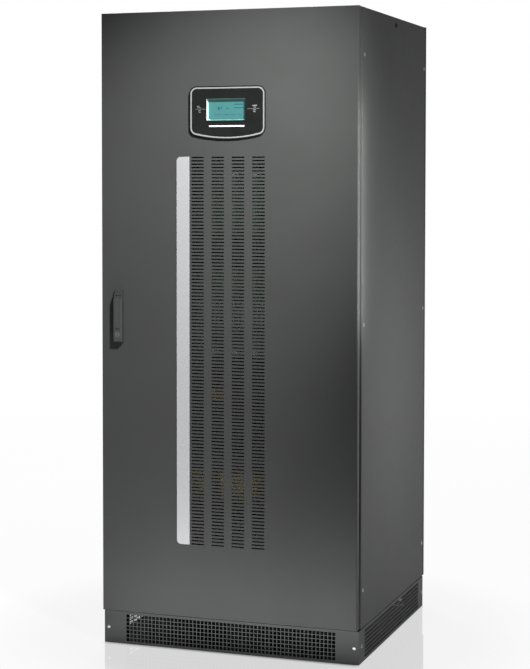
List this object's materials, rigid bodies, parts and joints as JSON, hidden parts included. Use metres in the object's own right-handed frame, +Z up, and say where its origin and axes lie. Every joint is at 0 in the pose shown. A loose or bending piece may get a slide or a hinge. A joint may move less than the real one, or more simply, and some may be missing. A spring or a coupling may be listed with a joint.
{
  "type": "ups cabinet",
  "caption": "Floor-standing UPS cabinet with a slotted, hinged front door, control display, silver strip, swing-out door lever and perforated plinth.",
  "frame": {"origin": "on the floor under the middle of the cabinet, with the door handle counted in the depth", "axes": "+X to the right seen from the front, +Y to the rear, +Z up"},
  "size_m": [0.8, 0.84, 1.9],
  "materials": {
    "plinth_paint": "satin dark grey powder coat",
    "frame_paint": "dark powder coat",
    "anthracite_paint": "fine-textured anthracite powder coat",
    "zinc_steel": "zinc-plated steel",
    "display_black": "black moulded plastic",
    "silver_trim": "satin silver",
    "status_white": "white light bar",
    "black_plastic": "black plastic",
    "screen_glass": "teal backlit screen",
    "core_steel": "varnished lamination steel",
    "coil_varnish": "varnished winding",
    "board_green": "circuit board",
    "capacitor_yellow": "film capacitor case"
  },
  "bodies": {
    "cabinet": {"base_legs": "plinth_paint", "base_plate": "frame_paint", "base_rails": "frame_paint", "bus_capacitors": "capacitor_yellow", "choke_coils": "coil_varnish", "choke_core": "core_steel", "control_board": "board_green", "driver_board": "board_green", "equipment_plate": "frame_paint", "equipment_shelf": "frame_paint", "hinge_arms": "zinc_steel", "plinth_front": "plinth_paint", "plinth_left": "plinth_paint", "plinth_rear": "plinth_paint", "plinth_right": "plinth_paint", "post_front_left": "frame_paint", "post_front_right": "frame_paint", "post_rear_left": "frame_paint", "post_rear_right": "frame_paint", "rear_panel": "anthracite_paint", "roof_panel": "anthracite_paint", "roof_rails": "frame_paint", "side_panel_left": "anthracite_paint", "side_panel_right": "anthracite_paint"},
    "door": {"display_bezel": "display_black", "display_housing": "black_plastic", "display_screen": "screen_glass", "display_status_bar": "status_white", "display_trim": "silver_trim", "door_panel": "anthracite_paint", "door_stiffener_left": "zinc_steel", "door_stiffener_right": "zinc_steel", "handle_base": "black_plastic", "handle_pin": "zinc_steel", "hinge_blocks": "zinc_steel", "latch_case": "black_plastic", "latch_rods": "zinc_steel", "lock_cylinder": "zinc_steel", "trim_strip": "silver_trim"},
    "lever": {"handle_lever": "black_plastic"}
  },
  "joints": [
    {"name": "door_hinge", "type": "hinge", "parent": "cabinet", "child": "door", "pos_m": [0.387, -0.385, 1], "axis": [0, 0, 1], "range_deg": [0, 110]},
    {"name": "handle_lift", "type": "hinge", "parent": "door", "child": "lever", "pos_m": [-0.34, -0.413, 1.0515], "axis": [-1, 0, 0], "range_deg": [0, 45]}
  ]
}
